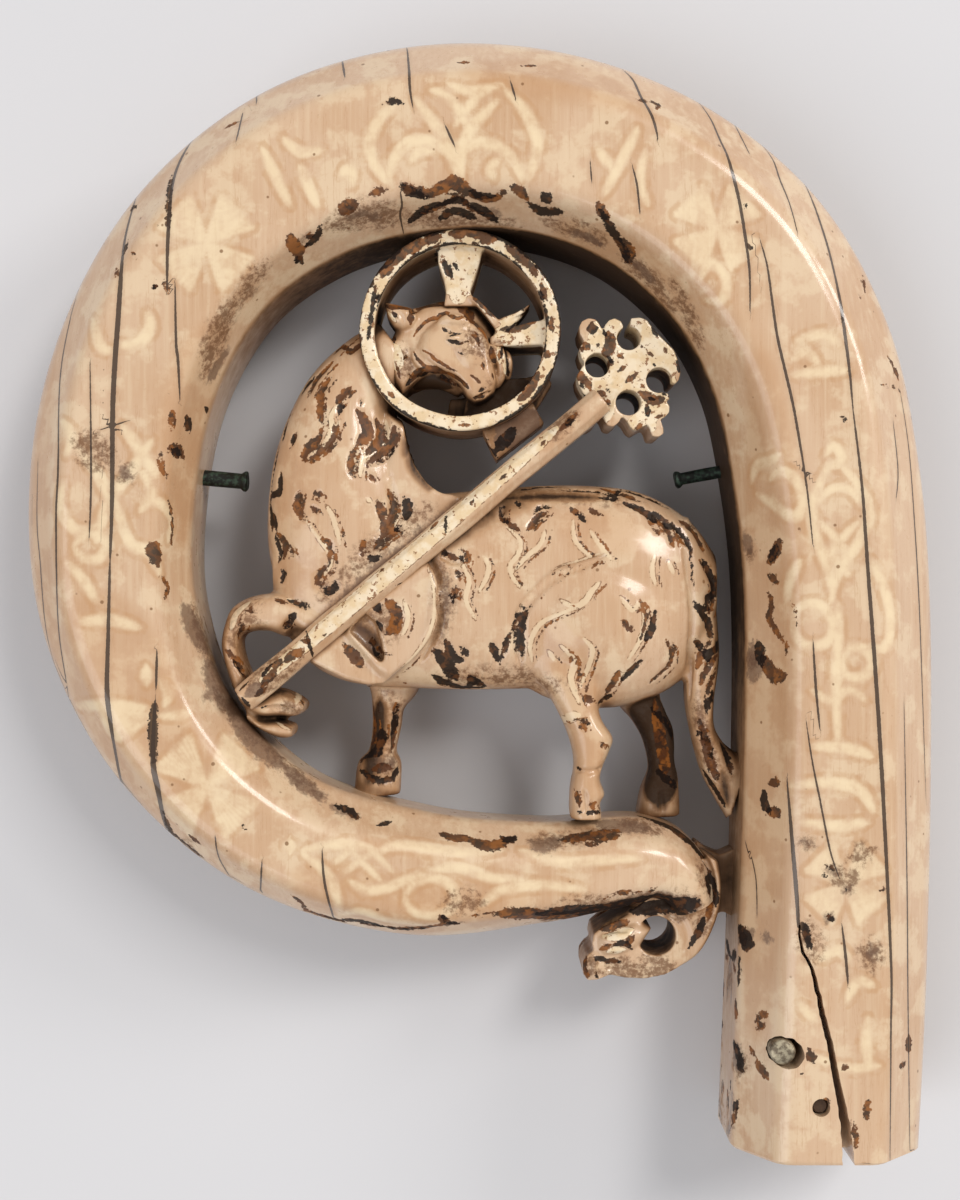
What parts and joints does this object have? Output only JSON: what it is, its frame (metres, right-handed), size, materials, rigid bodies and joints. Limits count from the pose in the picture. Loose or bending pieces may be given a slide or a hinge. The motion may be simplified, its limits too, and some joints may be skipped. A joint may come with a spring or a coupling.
{
  "type": "crosier head",
  "caption": "Ivory crook carved in openwork: a faceted staff head that curls into a serpent's head around a lamb with a cross-halo and a staff cross.",
  "frame": {"origin": "middle of the box's underside: the head lies on its flat back facet", "axes": "+X to the right and +Y towards the top of the crook as seen from the front, +Z out of the front"},
  "size_m": [0.1152, 0.1401, 0.028],
  "materials": {
    "ivory": "polished old ivory, warm cream with brown in the cracks and hollows",
    "pin_bronze": "dark green-black patinated copper alloy",
    "rivet_iron": "dull grey-brown worn metal",
    "peg_wood": "dark brown, dull"
  },
  "bodies": {
    "root": {"ivory_head": "ivory", "left_pin": "pin_bronze", "right_pin": "pin_bronze", "shaft_rivet": "rivet_iron", "small_peg": "peg_wood"}
  },
  "joints": []
}
